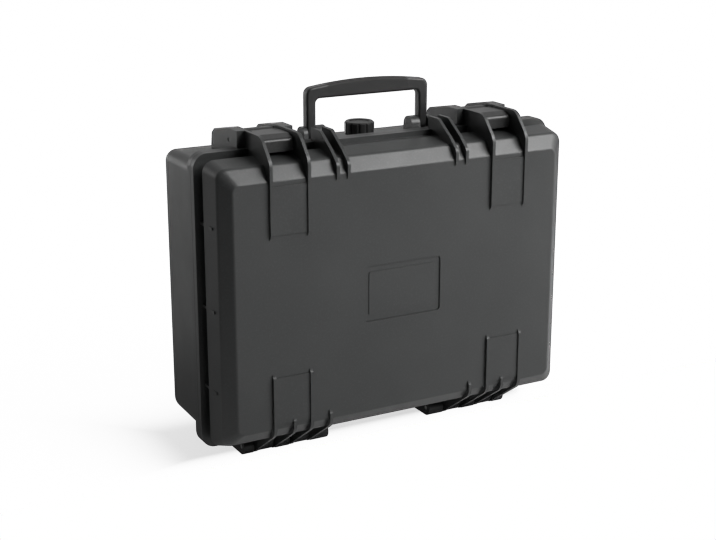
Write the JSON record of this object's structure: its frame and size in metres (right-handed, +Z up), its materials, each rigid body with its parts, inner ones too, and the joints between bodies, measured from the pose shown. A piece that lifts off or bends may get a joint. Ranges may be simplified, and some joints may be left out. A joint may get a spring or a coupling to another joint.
{
  "type": "hard camera case",
  "caption": "Hard moulded case with a hinged bevelled lid, two lever latches between protective fins, a folding handle, a pressure valve and foam inside.",
  "frame": {"origin": "on the floor, under the middle of the closed case standing on its feet", "axes": "+X across the case to the right, +Y from the lid's face back to the base, +Z up to the handle"},
  "size_m": [0.443, 0.153, 0.4035],
  "materials": {
    "shell": "finely textured moulding, charcoal black",
    "latch": "satin moulding, charcoal black",
    "handle": "satin moulding, black",
    "grip": "matt soft sleeve, black",
    "pin": "drawn steel rod",
    "seal": "smooth cord, black",
    "valve": "turned moulding, black",
    "knob": "fluted moulding, black",
    "membrane": "thin breathable film",
    "foam": "open cell foam, dark grey"
  },
  "bodies": {
    "base": {"base_shell": "shell", "base_foam_pad": "foam", "base_foam_insert": "foam", "hinge_pin_left": "pin", "hinge_pin_right": "pin", "hook_pin_left": "pin", "hook_pin_right": "pin", "handle_pins": "pin", "valve_body": "valve", "valve_nut": "valve", "valve_seal_ring": "seal", "valve_membrane": "membrane"},
    "lid": {"lid_shell": "shell", "lid_seal": "seal", "lid_foam": "foam"},
    "handle": {"handle_bow": "handle", "handle_grip": "grip"},
    "valve_knob": {"valve_knob": "knob"},
    "hook_left": {"latch_hook_left": "latch", "lever_pin_left": "pin"},
    "lever_left": {"latch_lever_left": "latch"},
    "hook_right": {"latch_hook_right": "latch", "lever_pin_right": "pin"},
    "lever_right": {"latch_lever_right": "latch"}
  },
  "joints": [
    {"name": "lid_hinge", "type": "hinge", "parent": "base", "child": "lid", "pos_m": [0, -0.0155, 0.0085], "axis": [1, 0, 0], "range_deg": [0, 105]},
    {"name": "handle_pivot", "type": "hinge", "parent": "base", "child": "handle", "pos_m": [0, 0.0095, 0.347], "axis": [-1, 0, 0], "range_deg": [0, 90]},
    {"name": "valve_turn", "type": "hinge", "parent": "base", "child": "valve_knob", "pos_m": [0, 0.0255, 0.3455], "axis": [0, 0, 1], "range_deg": [0, 180]},
    {"name": "hook_left_pivot", "type": "hinge", "parent": "base", "child": "hook_left", "pos_m": [-0.136, 0.0065, 0.351], "axis": [-1, 0, 0], "range_deg": [0, 100]},
    {"name": "lever_left_pivot", "type": "hinge", "parent": "hook_left", "child": "lever_left", "pos_m": [-0.136, -0.0075, 0.3565], "axis": [-1, 0, 0], "range_deg": [0, 75]},
    {"name": "hook_right_pivot", "type": "hinge", "parent": "base", "child": "hook_right", "pos_m": [0.136, 0.0065, 0.351], "axis": [-1, 0, 0], "range_deg": [0, 100]},
    {"name": "lever_right_pivot", "type": "hinge", "parent": "hook_right", "child": "lever_right", "pos_m": [0.136, -0.0075, 0.3565], "axis": [-1, 0, 0], "range_deg": [0, 75]}
  ]
}
